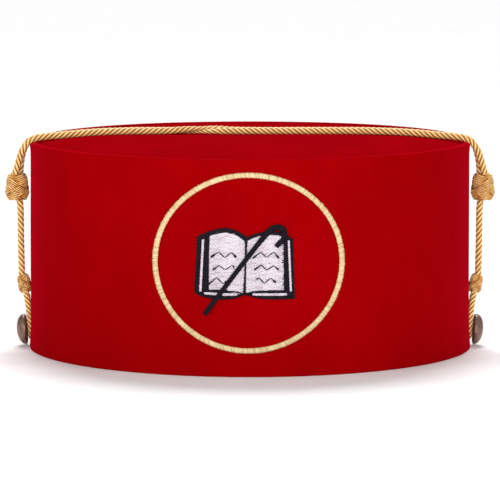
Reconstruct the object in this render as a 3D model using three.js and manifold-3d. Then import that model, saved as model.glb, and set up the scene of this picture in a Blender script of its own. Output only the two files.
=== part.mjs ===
// A velvet crown cap: an oval band and a domed top, a stitched badge on the front,
// and twisted gold cords that run from a button on each side over the top.
// Millimetres, +Z up. The front of the cap faces -Y and the open bottom rim lies on Z = 0.
import * as THREE from 'three';
import { mergeVertices } from 'three/addons/utils/BufferGeometryUtils.js';
import Module from 'manifold-3d';

const wasm = await Module();
wasm.setup();

// Driving sizes
const GAP = 0.3;
const PLAN_STEPS = 80;
const WELD_DISTANCE = 1e-4;

const BAND = {
  height: 87.8,
  wall: 2.6,
  hemRadius: 0.5,
  rimSteps: 4,
  top: { halfWidth: 93.0, halfDepth: 101.0, exponent: 1.92 },
  bottom: { halfWidth: 93.9, halfDepth: 103.5, exponent: 1.96 },
  outerHeights: [0.5, 3.5, 7, 11, 16, 24, 40, 70],
  innerHeights: [70, 40, 16, 7, 3],
};
const RIM_RADIUS = BAND.wall / 2;

// The velvet gives way in a pocket behind each button and its cord, and under the cords on the rim.
const POCKET = { depth: 3.1, halfWidth: 5.6, edgePower: 4, up: 12, down: 5 };
const RIM_DIP = { depth: 1.5, spread: 9, bandPower: 10, panelPower: 16 };

const PANEL = {
  edgeHeight: 86.9,
  rise: 3.4,
  shoulderPower: 5,
  thickness: 2,
  rings: [1, 0.96, 0.88, 0.74, 0.5],
};

const CORD_DIAMETER = 2.8;
const EYE_CORD_DIAMETER = 2.4;
const CORD_SIDE_POINTS = 4;

const BUTTON = {
  height: 7.0,
  radius: 6.5,
  shankRadius: 1.5,
  backOut: 94.9,
  rimOut: 95.7,
  apexOut: 99.3,
  sides: 20,
};
// Shares of the button's radius, and of the way from its back to its rim or from the rim to the apex.
const BUTTON_SHELL = [{ radius: 0.71, rise: 0 }, { radius: 0.9, rise: 0.3 }, { radius: 1, rise: 1 }];
const BUTTON_DOME = [
  { radius: 0.95, rise: 0.33 }, { radius: 0.83, rise: 0.58 }, { radius: 0.62, rise: 0.8 },
  { radius: 0.34, rise: 0.95 },
];

const SMALL_KNOT = { out: 95.95, middle: 26.55, height: 7.9, radius: 3.0, lean: 0.26 };
const BIG_KNOT = { out: 98.85, middle: 67.85, height: 11.3, radius: 5.0, lean: 0 };
const KNOT_SIDES = 16;
// Shares of the knot's radius, and of its half height from the middle up.
const KNOT_BULGE = [
  { radius: 0.6, rise: -1 }, { radius: 0.88, rise: -0.8 }, { radius: 0.99, rise: -0.4 },
  { radius: 1, rise: 0 },
  { radius: 0.99, rise: 0.4 }, { radius: 0.88, rise: 0.8 }, { radius: 0.6, rise: 1 },
];

const RING = { centreX: -0.6, centreZ: 46.2, halfWidth: 39.1, halfHeight: 36.7, stroke: 2.5, steps: 72 };

// Stitched layers, each lifted clear of the one below it.
const PAGE_LAYER = { lift: 0.3, thickness: 0.3 };
const OUTLINE_LAYER = { lift: 0.9, thickness: 0.36 };
const CROOK_LAYER = { lift: 1.6, thickness: 0.4 };
const RING_LAYER = { lift: 0.3, thickness: 0.8 };

const VELVET = { color: 0x9c0308, roughness: 0.95, metalness: 0 };
const GOLD_CORD = { color: 0xdcab68, roughness: 0.6, metalness: 0.1 };
const GOLD_THREAD = { color: 0xf0d796, roughness: 0.5, metalness: 0 };
const WHITE_THREAD = { color: 0xebe1eb, roughness: 0.6, metalness: 0 };
const BLACK_THREAD = { color: 0x231e28, roughness: 0.6, metalness: 0 };
const ANTIQUE_BRASS = { color: 0x5f4b41, roughness: 0.4, metalness: 0.9 };

// The badge, drawn flat on the front of the band as [x, z].
// level numbers the strokes of the outline: each is sunk a little into the one below its level.
const LEVEL_STEP = { lift: 0.03, thickness: 0.06 };
const COVER_LEFT = { level: 0, top: [-19.1, 56.6], bottom: [-19.9, 33.4], width: 4.6 };
const COVER_RIGHT = { level: 0, top: [15.4, 56.0], bottom: [16.1, 32.4], width: 4.4 };
const SPINE = { level: 2, top: [-1.5, 56.9], bottom: [-2.3, 33.2], width: 1.1 };
const BAR_STEPS = 8;
const LINE_WIDTH = 1.4;
const LINE_STEPS = 12;
const LEFT_HEAD = {
  level: 1,
  points: [[-20.2, 57.0], [-15.4, 58.7], [-9.5, 59.5], [-5.1, 58.3], [-1.3, 56.1]],
};
const RIGHT_HEAD = {
  level: 1.5,
  points: [[-1.5, 56.1], [2.3, 57.6], [6.3, 58.3], [11.5, 57.6], [17.0, 55.4]],
};
const LEFT_FOOT = {
  level: 1,
  points: [[-21.5, 33.9], [-18.4, 33.2], [-11, 32.3], [-5.3, 32.8], [-2, 34.2]],
};
const RIGHT_FOOT = {
  level: 1.5,
  points: [[-2.2, 34.2], [2.3, 32.9], [7.7, 32.4], [12.5, 32.3], [17.8, 32.5]],
};
const PAGE_INSET = 0.6;
const PAGE_STEPS = { across: 8, up: 4 };
const PAGE_LINE_SAMPLES = 60;
const CROOK_WIDTH = 2.1;
const CROOK_STEPS = 40;
const CROOK_LINE = [
  [-18.0, 25.4], [-12.8, 32.6], [-1.7, 47.6], [6.2, 57.6], [8.6, 59.9], [11.2, 60.8],
  [13.3, 59.7], [14.0, 57.8], [13.4, 55.7], [11.9, 54.3], [10.6, 53.0],
];

// Cord routes. out is the distance from the middle of the cap, y its depth, z its height.
const OWN_RISE = [
  { out: 99.5, y: -1.5, z: 73.8 }, { out: 98.7, y: -1.6, z: 76.8 }, { out: 97.75, y: -1.6, z: 80.0 },
  { out: 96.8, y: -1.6, z: 82.8 }, { out: 95.6, y: -1.6, z: 84.9 }, { out: 94.3, y: -1.6, z: 86.7 },
  { out: 92.6, y: -1.6, z: 88.0 }, { out: 90.4, y: -1.6, z: 88.9 }, { out: 87.0, y: -1.6, z: 89.5 },
  { out: 80.7, y: -1.6, z: 90.1 }, { out: 72.2, y: -1.6, z: 90.9 }, { out: 63.7, y: -1.6, z: 91.5 },
  { out: 52.0, y: -1.6, z: 91.9 }, { out: 42.5, y: -1.6, z: 92.0 },
];
const GUEST_FALL = [
  { out: 42.5, y: 1.6, z: 92.0 }, { out: 52.0, y: 1.6, z: 91.9 }, { out: 63.7, y: 1.6, z: 91.5 },
  { out: 72.2, y: 1.6, z: 90.9 }, { out: 80.7, y: 1.6, z: 90.1 }, { out: 87.0, y: 1.6, z: 89.5 },
  { out: 90.4, y: 1.6, z: 88.9 }, { out: 92.6, y: 1.6, z: 88.0 }, { out: 94.3, y: 1.6, z: 86.7 },
  { out: 95.5, y: 1.6, z: 84.9 }, { out: 96.4, y: 1.6, z: 82.6 }, { out: 97.0, y: 1.6, z: 79.8 },
  { out: 97.4, y: 1.6, z: 76.8 }, { out: 97.6, y: 1.6, z: 73.8 },
];
// Between the rises the left cord passes over the right one in a long low hump.
const LEFT_CROSSING = [
  { x: -34.0, y: -1.6, z: 92.5 }, { x: -28.0, y: -1.3, z: 94.0 }, { x: -24.0, y: -0.7, z: 95.0 },
  { x: -20.6, y: 0.0, z: 95.2 }, { x: -17.2, y: 0.7, z: 95.0 }, { x: -13.2, y: 1.3, z: 94.0 },
  { x: -7.2, y: 1.6, z: 92.5 }, { x: 2.0, y: 1.6, z: 92.0 }, { x: 22.0, y: 1.6, z: 92.0 },
];
const RIGHT_CROSSING = [
  { x: 22.0, y: -1.6, z: 92.0 }, { x: 2.0, y: -1.6, z: 92.0 }, { x: -7.2, y: -1.6, z: 92.0 },
  { x: -13.2, y: -1.3, z: 92.0 }, { x: -20.6, y: 0.0, z: 92.0 }, { x: -28.0, y: 1.3, z: 92.0 },
  { x: -34.0, y: 1.6, z: 92.0 },
];
const LOWER_ROUTE = [
  { out: 97.8, y: 0, z: 61.9 }, { out: 97.5, y: 0, z: 58.5 }, { out: 97.4, y: 0, z: 53.0 },
  { out: 97.35, y: 0, z: 45.0 }, { out: 97.2, y: 0, z: 37.5 }, { out: 97.05, y: 0, z: 31.2 },
];
const EYE_ROUTE = [
  { out: 95.2, y: -1.35, z: 22.3 }, { out: 94.6, y: -1.7, z: 19.5 }, { out: 94.1, y: -2.2, z: 16.0 },
  { out: 93.7, y: -2.8, z: 12.5 }, { out: 93.4, y: -3.1, z: 9.0 }, { out: 93.2, y: -2.8, z: 5.9 },
  { out: 93.1, y: -1.5, z: 4.3 }, { out: 93.05, y: 0, z: 3.9 }, { out: 93.1, y: 1.5, z: 4.3 },
  { out: 93.2, y: 2.8, z: 5.9 }, { out: 93.4, y: 3.1, z: 9.0 }, { out: 93.7, y: 2.8, z: 12.5 },
  { out: 94.1, y: 2.2, z: 16.0 }, { out: 94.6, y: 1.7, z: 19.5 }, { out: 95.2, y: 1.35, z: 22.3 },
];
const OVER_STEPS = 72;
const LOWER_STEPS = 6;
const EYE_STEPS = 22;

const SIDES = [{ name: 'left', sign: -1 }, { name: 'right', sign: 1 }];

// Plan of the band

const PLAN_ANGLES = Array.from({ length: PLAN_STEPS }, (_, step) => (2 * Math.PI * step) / PLAN_STEPS);
// The band has one more column on each flank of its two pockets.
const FLANK = Math.PI / PLAN_STEPS;
const POCKET_ANGLES = [FLANK, Math.PI - FLANK, Math.PI + FLANK, 2 * Math.PI - FLANK];
const BAND_ANGLES = [...PLAN_ANGLES, ...POCKET_ANGLES].sort((p, q) => p - q);

function planAt(z) {
  const k = THREE.MathUtils.clamp(z / BAND.height, 0, 1);
  const mix = (name) => THREE.MathUtils.lerp(BAND.bottom[name], BAND.top[name], k);
  return { a: mix('halfWidth'), b: mix('halfDepth'), n: mix('exponent') };
}

// Outward normal of the plan's superellipse at one of its points.
function planNormal({ a, b, n }, x, y) {
  const slope = (value, half) => Math.sign(value) * Math.abs(value / half) ** (n - 1) / half;
  return new THREE.Vector2(slope(x, a), slope(y, b)).normalize();
}

// Point of the plan at an angle, moved inward by inset.
function planPoint(angle, z, inset) {
  const plan = planAt(z);
  const power = (value) => Math.sign(value) * Math.abs(value) ** (2 / plan.n);
  const x = plan.a * power(Math.cos(angle));
  const y = plan.b * power(Math.sin(angle));
  const normal = planNormal(plan, x, y);
  return { x: x - normal.x * inset, y: y - normal.y * inset };
}

function pocketAt(y, z) {
  const rise = (z - BUTTON.height) / (z > BUTTON.height ? POCKET.up : POCKET.down);
  return POCKET.depth * Math.exp(-((y / POCKET.halfWidth) ** POCKET.edgePower) - rise ** 2 / 2);
}

function rimDipAt(y) {
  return RIM_DIP.depth * Math.exp(-((y / RIM_DIP.spread) ** 2));
}

function bandPoint(angle, { inset, z }) {
  const point = planPoint(angle, z, inset);
  const dip = rimDipAt(point.y) * (z / BAND.height) ** RIM_DIP.bandPower;
  return [point.x - Math.sign(point.x) * pocketAt(point.y, z), point.y, z - dip];
}

// Point on the front of the band at [x, z], lifted off the velvet.
function frontPoint([x, z], lift) {
  const plan = planAt(z);
  const y = -plan.b * (1 - Math.abs(x / plan.a) ** plan.n) ** (1 / plan.n);
  const normal = planNormal(plan, x, y);
  return [x + normal.x * lift, y + normal.y * lift, z];
}

// Closed surfaces

function solidFrom(points, triangles) {
  const geometry = new THREE.BufferGeometry();
  geometry.setAttribute('position', new THREE.Float32BufferAttribute(points.flat(), 3));
  geometry.setIndex(triangles.flat());
  geometry.computeVertexNormals();
  return geometry;
}

// Joins the doubled points of a built-in shape and drops the triangles that vanish at its poles.
function sealed(source) {
  const bare = source.clone();
  bare.deleteAttribute('normal');
  bare.deleteAttribute('uv');
  const geometry = mergeVertices(bare, WELD_DISTANCE);
  const index = Array.from(geometry.index.array);
  const kept = [];
  for (let i = 0; i < index.length; i += 3) {
    const [a, b, c] = index.slice(i, i + 3);
    if (a !== b && b !== c && c !== a) kept.push(a, b, c);
  }
  geometry.setIndex(kept);
  geometry.computeVertexNormals();
  return geometry;
}

// A loop of profile rows carried round the plan.
function ringSolid(rows, angles, pointAt) {
  const points = [];
  const triangles = [];
  const at = (row, step) => (row % rows.length) * angles.length + (step % angles.length);
  rows.forEach((row, r) => {
    angles.forEach((angle, step) => {
      points.push(pointAt(angle, row));
      triangles.push([at(r, step), at(r, step + 1), at(r + 1, step + 1)]);
      triangles.push([at(r, step), at(r + 1, step + 1), at(r + 1, step)]);
    });
  });
  return solidFrom(points, triangles);
}

function sideBand() {
  const rimCentre = BAND.height - RIM_RADIUS;
  const rows = BAND.outerHeights.map((z) => ({ inset: 0, z }));
  for (let i = 0; i <= BAND.rimSteps; i += 1) {
    const turn = (Math.PI * i) / BAND.rimSteps;
    rows.push({ inset: RIM_RADIUS * (1 - Math.cos(turn)), z: rimCentre + RIM_RADIUS * Math.sin(turn) });
  }
  BAND.innerHeights.forEach((z) => rows.push({ inset: BAND.wall, z }));
  rows.push({ inset: BAND.wall - BAND.hemRadius, z: 0 });
  rows.push({ inset: BAND.hemRadius, z: 0 });
  return ringSolid(rows, BAND_ANGLES, bandPoint);
}

// The domed top: the same rings above and below, closed by a pole on each face.
function topPanel() {
  const points = [];
  const triangles = [];
  const ringPoint = (angle, ring, drop) => {
    const edge = planPoint(angle, PANEL.edgeHeight, BAND.wall + GAP);
    const [x, y] = [edge.x * ring, edge.y * ring];
    const dip = rimDipAt(y) * ring ** RIM_DIP.panelPower * Math.abs(Math.cos(angle)) ** 2;
    return [x, y, PANEL.edgeHeight + PANEL.rise * (1 - ring ** PANEL.shoulderPower) - dip - drop];
  };
  const loops = [];
  const addLoop = (ring, drop) => {
    loops.push(points.length);
    PLAN_ANGLES.forEach((angle) => points.push(ringPoint(angle, ring, drop)));
  };
  [...PANEL.rings].reverse().forEach((ring) => addLoop(ring, PANEL.thickness));
  PANEL.rings.forEach((ring) => addLoop(ring, 0));
  const bottomPole = points.push([0, 0, PANEL.edgeHeight + PANEL.rise - PANEL.thickness]) - 1;
  const topPole = points.push([0, 0, PANEL.edgeHeight + PANEL.rise]) - 1;
  for (let step = 0; step < PLAN_STEPS; step += 1) {
    const next = (step + 1) % PLAN_STEPS;
    for (let l = 0; l + 1 < loops.length; l += 1) {
      triangles.push([loops[l] + step, loops[l] + next, loops[l + 1] + next]);
      triangles.push([loops[l] + step, loops[l + 1] + next, loops[l + 1] + step]);
    }
    triangles.push([bottomPole, loops[0] + next, loops[0] + step]);
    triangles.push([topPole, loops.at(-1) + step, loops.at(-1) + next]);
  }
  return solidFrom(points, triangles);
}

// A thin slab on the front of the band over a grid of [x, z] points. u runs along, v to its left.
function frontSlab(pointAt, uSteps, vSteps, layer, closed = false) {
  const uCount = closed ? uSteps : uSteps + 1;
  const vCount = vSteps + 1;
  const points = [];
  const triangles = [];
  const at = (side, u, v) => (side * uCount + (u % uCount)) * vCount + v;
  const quad = (a, b, c, d) => triangles.push([a, b, c], [a, c, d]);
  [layer.lift, layer.lift + layer.thickness].forEach((lift) => {
    for (let u = 0; u < uCount; u += 1) {
      for (let v = 0; v < vCount; v += 1) points.push(frontPoint(pointAt(u / uSteps, v / vSteps), lift));
    }
  });
  for (let u = 0; u < uSteps; u += 1) {
    for (let v = 0; v < vSteps; v += 1) {
      quad(at(1, u, v), at(1, u + 1, v), at(1, u + 1, v + 1), at(1, u, v + 1));
      quad(at(0, u, v), at(0, u, v + 1), at(0, u + 1, v + 1), at(0, u + 1, v));
    }
    quad(at(0, u, 0), at(0, u + 1, 0), at(1, u + 1, 0), at(1, u, 0));
    quad(at(0, u, vSteps), at(1, u, vSteps), at(1, u + 1, vSteps), at(0, u + 1, vSteps));
  }
  for (let v = 0; v < vSteps && !closed; v += 1) {
    quad(at(0, 0, v), at(1, 0, v), at(1, 0, v + 1), at(0, 0, v + 1));
    quad(at(0, uSteps, v), at(0, uSteps, v + 1), at(1, uSteps, v + 1), at(1, uSteps, v));
  }
  return solidFrom(points, triangles);
}

// A stroke of even width along a smooth line through [x, z] points.
function frontStroke(points, width, steps, layer) {
  const line = flatCurve(points);
  const pointAt = (u, v) => {
    const middle = line.getPointAt(u);
    const along = line.getTangentAt(u);
    const off = width * (v - 0.5);
    return [middle.x - along.y * off, middle.y + along.x * off];
  };
  return frontSlab(pointAt, steps, 1, layer);
}

function badgeRing() {
  const pointAt = (u, v) => {
    const angle = 2 * Math.PI * u;
    const inset = RING.stroke * v;
    return [
      RING.centreX + (RING.halfWidth - inset) * Math.cos(angle),
      RING.centreZ + (RING.halfHeight - inset) * Math.sin(angle),
    ];
  };
  return frontSlab(pointAt, RING.steps, 1, RING_LAYER, true);
}

const flatCurve = (points) => new THREE.SplineCurve(points.map(([x, z]) => new THREE.Vector2(x, z)));

// Height of a line of [x, z] points at x.
function heightOn(points, x) {
  const samples = flatCurve(points).getSpacedPoints(PAGE_LINE_SAMPLES);
  const after = Math.max(1, samples.findIndex((sample) => sample.x >= x));
  const [p, q] = [samples[after - 1], samples[after]];
  return THREE.MathUtils.mapLinear(x, p.x, q.x, p.y, q.y);
}

// One page: its head and foot follow the outline's lines, inset a little under them.
function bookPage(head, foot, fromX, toX) {
  const pointAt = (u, v) => {
    const x = THREE.MathUtils.lerp(fromX, toX, u);
    const low = heightOn(foot.points, x) + PAGE_INSET;
    const high = heightOn(head.points, x) - PAGE_INSET;
    return [x, THREE.MathUtils.lerp(low, high, v)];
  };
  return frontSlab(pointAt, PAGE_STEPS.across, PAGE_STEPS.up, PAGE_LAYER);
}

function toManifold(geometry) {
  const mesh = new wasm.Mesh({
    numProp: 3,
    vertProperties: new Float32Array(geometry.getAttribute('position').array),
    triVerts: new Uint32Array(geometry.index.array),
  });
  return new wasm.Manifold(mesh);
}

function fromManifold(manifold) {
  const mesh = manifold.getMesh();
  const geometry = new THREE.BufferGeometry();
  geometry.setAttribute('position', new THREE.Float32BufferAttribute(mesh.vertProperties, 3));
  geometry.setIndex(Array.from(mesh.triVerts));
  geometry.computeVertexNormals();
  return geometry;
}

// Covers, spine and page lines joined to one black outline, no two of them sharing a face.
function bookOutline() {
  const layerOf = ({ level }) => ({
    lift: OUTLINE_LAYER.lift + LEVEL_STEP.lift * level,
    thickness: OUTLINE_LAYER.thickness - LEVEL_STEP.thickness * level,
  });
  const bars = [COVER_LEFT, COVER_RIGHT, SPINE].map((bar) => (
    frontStroke([bar.bottom, bar.top], bar.width, BAR_STEPS, layerOf(bar))
  ));
  const lines = [LEFT_HEAD, RIGHT_HEAD, LEFT_FOOT, RIGHT_FOOT].map((line) => (
    frontStroke(line.points, LINE_WIDTH, LINE_STEPS, layerOf(line))
  ));
  const joined = [...bars, ...lines].map(toManifold).reduce((sum, stroke) => sum.add(stroke));
  return fromManifold(joined);
}

function lathe(profile, sides) {
  return sealed(new THREE.LatheGeometry(profile.map(([r, h]) => new THREE.Vector2(r, h)), sides));
}

// Shank, back shell and dome in one turned piece, from the shank's foot at the velvet outward.
function button() {
  const foot = planAt(BUTTON.height).a - POCKET.depth + GAP;
  const back = BUTTON.backOut - foot;
  const rim = BUTTON.rimOut - foot;
  const apex = BUTTON.apexOut - foot;
  const between = (low, high) => ({ radius, rise }) => (
    [radius * BUTTON.radius, THREE.MathUtils.lerp(low, high, rise)]
  );
  const profile = [
    [0, 0], [BUTTON.shankRadius, 0], [BUTTON.shankRadius, back],
    ...BUTTON_SHELL.map(between(back, rim)),
    ...BUTTON_DOME.map(between(rim, apex)),
    [0, apex],
  ];
  return { foot, geometry: lathe(profile, BUTTON.sides) };
}

function knot({ height, radius }) {
  const half = height / 2;
  const profile = KNOT_BULGE.map((row) => [row.radius * radius, row.rise * half]);
  return lathe([[0, -half], ...profile, [0, half]], KNOT_SIDES);
}

function cord(route, diameter, steps) {
  const path = new THREE.CatmullRomCurve3(route, false, 'centripetal');
  const section = new THREE.Shape();
  section.absarc(0, 0, diameter / 2, 0, 2 * Math.PI);
  const options = { steps, extrudePath: path, curveSegments: CORD_SIDE_POINTS, bevelEnabled: false };
  return sealed(new THREE.ExtrudeGeometry(section, options));
}

const onSide = (sign) => ({ out, y, z }) => new THREE.Vector3(sign * out, y, z);
const inMiddle = ({ x, y, z }) => new THREE.Vector3(x, y, z);

// Assembly

const cap = new THREE.Group();

function add(name, geometry, finish) {
  const mesh = new THREE.Mesh(geometry, new THREE.MeshStandardMaterial(finish));
  mesh.name = name;
  cap.add(mesh);
  return mesh;
}

add('side_band', sideBand(), VELVET);
add('top_panel', topPanel(), VELVET);
add('badge_ring', badgeRing(), GOLD_THREAD);

const leftEdge = COVER_LEFT.top[0] + COVER_LEFT.width / 2;
const rightEdge = COVER_RIGHT.top[0] - COVER_RIGHT.width / 2;
const spineX = (SPINE.top[0] + SPINE.bottom[0]) / 2;
add('book_page_left', bookPage(LEFT_HEAD, LEFT_FOOT, leftEdge, spineX - GAP), WHITE_THREAD);
add('book_page_right', bookPage(RIGHT_HEAD, RIGHT_FOOT, spineX + GAP, rightEdge), WHITE_THREAD);
add('book_outline', bookOutline(), BLACK_THREAD);
add('crook', frontStroke(CROOK_LINE, CROOK_WIDTH, CROOK_STEPS, CROOK_LAYER), BLACK_THREAD);

SIDES.forEach(({ name, sign }) => {
  const turned = button();
  const buttonMesh = add(`button_${name}`, turned.geometry, ANTIQUE_BRASS);
  buttonMesh.rotation.z = (-sign * Math.PI) / 2;
  buttonMesh.position.set(sign * turned.foot, 0, BUTTON.height);

  [['small_knot', SMALL_KNOT], ['big_knot', BIG_KNOT]].forEach(([kind, size]) => {
    const mesh = add(`${kind}_${name}`, knot(size), GOLD_CORD);
    mesh.rotation.set(Math.PI / 2, sign * size.lean, 0, 'YXZ');
    mesh.position.set(sign * size.out, 0, size.middle);
  });

  const place = onSide(sign);
  add(`cord_eye_${name}`, cord(EYE_ROUTE.map(place), EYE_CORD_DIAMETER, EYE_STEPS), GOLD_CORD);
  add(`lower_cord_${name}`, cord(LOWER_ROUTE.map(place), CORD_DIAMETER, LOWER_STEPS), GOLD_CORD);

  const crossing = sign < 0 ? LEFT_CROSSING : RIGHT_CROSSING;
  const over = [...OWN_RISE.map(place), ...crossing.map(inMiddle), ...GUEST_FALL.map(onSide(-sign))];
  add(`over_cord_${name}`, cord(over, CORD_DIAMETER, OVER_STEPS), GOLD_CORD);
});

export default cap;
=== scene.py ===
"""Looks of a velvet crown cap: pile velvet, stitched badge, twisted gold cords, woven knots, brass buttons.

Shapes are worked out in millimetres, +Z up with the front at -Y, and go into the meshes in metres.
"""

import bpy
import numpy as np
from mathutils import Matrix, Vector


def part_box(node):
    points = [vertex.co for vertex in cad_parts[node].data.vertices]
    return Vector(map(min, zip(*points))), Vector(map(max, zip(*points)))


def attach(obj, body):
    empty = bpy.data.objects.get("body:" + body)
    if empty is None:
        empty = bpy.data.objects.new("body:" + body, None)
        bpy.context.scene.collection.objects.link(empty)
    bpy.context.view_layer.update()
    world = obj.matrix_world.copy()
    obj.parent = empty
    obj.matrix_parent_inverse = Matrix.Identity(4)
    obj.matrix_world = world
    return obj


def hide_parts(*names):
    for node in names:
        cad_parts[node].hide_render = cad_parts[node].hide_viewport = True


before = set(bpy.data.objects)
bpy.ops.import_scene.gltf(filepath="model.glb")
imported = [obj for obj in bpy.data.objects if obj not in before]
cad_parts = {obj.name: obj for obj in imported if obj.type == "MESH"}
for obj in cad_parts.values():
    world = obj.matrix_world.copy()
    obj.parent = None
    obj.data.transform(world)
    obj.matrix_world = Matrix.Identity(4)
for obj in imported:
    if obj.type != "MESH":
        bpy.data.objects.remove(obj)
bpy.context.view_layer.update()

MM = 0.001
TAU = 2 * np.pi
SEED = 11
rng = np.random.default_rng(SEED)

# Sizes of the cap, in millimetres

BAND_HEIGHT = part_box("side_band")[1][2] / MM
BAND_WALL = 2.6
BAND_TOP = dict(half_width=93.0, half_depth=101.0, exponent=1.92)
BAND_BOTTOM = dict(half_width=93.3, half_depth=103.5, exponent=1.96)
BAND_GIRTH = 600
RIM_RADIUS, RIM_LIP, LIP_SPREAD = 0.8, 0.4, 2.6
HEM_RADIUS, HEM_FLARE, FLARE_SPREAD = 0.5, 0.5, 6.0
SQUARE_TURN = 0.6
WIDE_WAVE, NARROW_WAVE = 0.1, 0.08
SEAM_DEPTH, SEAM_HALF = 0.55, 0.55
RIDGE_HEIGHT, RIDGE_PLACE, RIDGE_HALF = 0.3, 2.2, 1.3
BACK_RISE, RISE_BEHIND, RISE_TO_SIDES = 0.5, 0.3, 1.9
POCKET_DEPTH, POCKET_HALF, POCKET_UP, POCKET_DOWN = 3.1, 5.6, 12.0, 5.0
DIP_DEPTH, DIP_SPREAD, DIP_BAND_POWER, DIP_PANEL_POWER = 1.5, 9.0, 10, 16

PANEL_EDGE, PANEL_RISE, PANEL_POWER, PANEL_THICKNESS = 86.9, 3.4, 5, 2.0
PANEL_TUCK = 0.18
ROLL_DROP, ROLL_START, ROLL_WIDTH = 0.9, 0.975, 0.025
DRAPE_ROUND, DRAPE_RIPPLE, RIPPLE_X, RIPPLE_Y = 0.12, 0.08, 17, 21

BUTTON_HEIGHT, BUTTON_RADIUS = 7.0, 6.5
BUTTON_APEX, BUTTON_EDGE, BUTTON_BACK = 99.3, 95.7, 94.9
BUTTON_DROOP = 0.07
DOME_POWER, TUCK_DEPTH = 0.9, 1.9
SHANK_RADIUS, SHANK_TOP_RADIUS, SHANK_FLARE = 1.5, 1.6, 2.4
SHANK_SINK, SHANK_RUN, FLARE_RUN = 0.4, 1.5, 0.15
POLE_RADIUS = 0.05

CORD_DIAMETER = 2.8
EYE_CORD_DIAMETER = 2.4
EYE_FULLNESS = 1.08
PLIES = 4
PLY_SIDES = 10
PLY_SHARE, PLY_BREADTH = 0.44, 1.12
LAY_PER_DIAMETER = 3.3
FULLNESS = 1.04
CROSSING_INTO_KNOT = 1.8
HANGING_INTO_BIG, HANGING_INTO_SMALL = 1.4, 1.8
EYE_INTO_KNOT = 1.2
SIDES = dict(left=-1, right=1)

RING_MIDDLE = (-0.6, 46.2)
RING_HALF = (38.85, 36.6)
RING_STROKE = 2.2
THREAD = 0.42

# Cord routes: distance from the middle, depth and height
OWN_RISE = [
    (99.5, -1.5, 73.8), (98.7, -1.6, 76.8), (97.75, -1.6, 80.0), (96.8, -1.6, 82.8), (95.6, -1.6, 84.9),
    (94.3, -1.6, 86.7), (92.6, -1.6, 88.0), (90.4, -1.6, 88.9), (87.0, -1.6, 89.5), (80.7, -1.6, 90.1),
    (72.2, -1.6, 90.9), (63.7, -1.6, 91.5), (52.0, -1.6, 91.9), (42.5, -1.6, 92.0),
]
GUEST_FALL = [
    (42.5, 1.6, 92.0), (52.0, 1.6, 91.9), (63.7, 1.6, 91.5), (72.2, 1.6, 90.9), (80.7, 1.6, 90.1),
    (87.0, 1.6, 89.5), (90.4, 1.6, 88.9), (92.6, 1.6, 88.0), (94.3, 1.6, 86.7), (95.5, 1.6, 84.9),
    (96.4, 1.6, 82.6), (97.0, 1.6, 79.8), (97.4, 1.6, 76.8), (97.6, 1.6, 73.8),
]
LEFT_CROSSING = [
    (-34.0, -1.6, 92.5), (-28.0, -1.3, 94.0), (-24.0, -0.7, 95.0), (-20.6, 0.0, 95.2), (-17.2, 0.7, 95.0),
    (-13.2, 1.3, 94.0), (-7.2, 1.6, 92.5), (2.0, 1.6, 92.0), (22.0, 1.6, 92.0),
]
RIGHT_CROSSING = [
    (22.0, -1.6, 92.0), (2.0, -1.6, 92.0), (-7.2, -1.6, 92.0), (-13.2, -1.3, 92.0), (-20.6, 0.0, 92.0),
    (-28.0, 1.3, 92.0), (-34.0, 1.6, 92.0),
]
LOWER_ROUTE = [
    (97.8, 0, 61.9), (97.5, 0, 58.5), (97.4, 0, 53.0), (97.35, 0, 45.0), (97.2, 0, 37.5), (97.05, 0, 31.2),
]
EYE_ROUTE = [
    (95.2, -1.35, 22.3), (94.6, -1.7, 19.5), (94.1, -2.2, 16.0), (93.7, -2.8, 12.5), (93.4, -3.1, 9.0),
    (93.2, -2.8, 5.9), (93.1, -1.5, 4.3), (93.05, 0, 3.9), (93.1, 1.5, 4.3), (93.2, 2.8, 5.9),
    (93.4, 3.1, 9.0), (93.7, 2.8, 12.5), (94.1, 2.2, 16.0), (94.6, 1.7, 19.5), (95.2, 1.35, 22.3),
]
CROSSING_X = -20.6
TOP_OF_ROUTE = 92.0
RIM_LEVEL, RIM_BLEND = 87.5, 2.5
SETTLE, UNDER_DROP = 0.3, 0.35
HUMP_SHARE = 0.32
CROSSING_FLAT, CROSSING_REACH = 0.4, 6.0
SIDE_BY_SIDE, QUICK_SWAP = 1.6, 1.8


# Meshes from arrays

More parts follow.
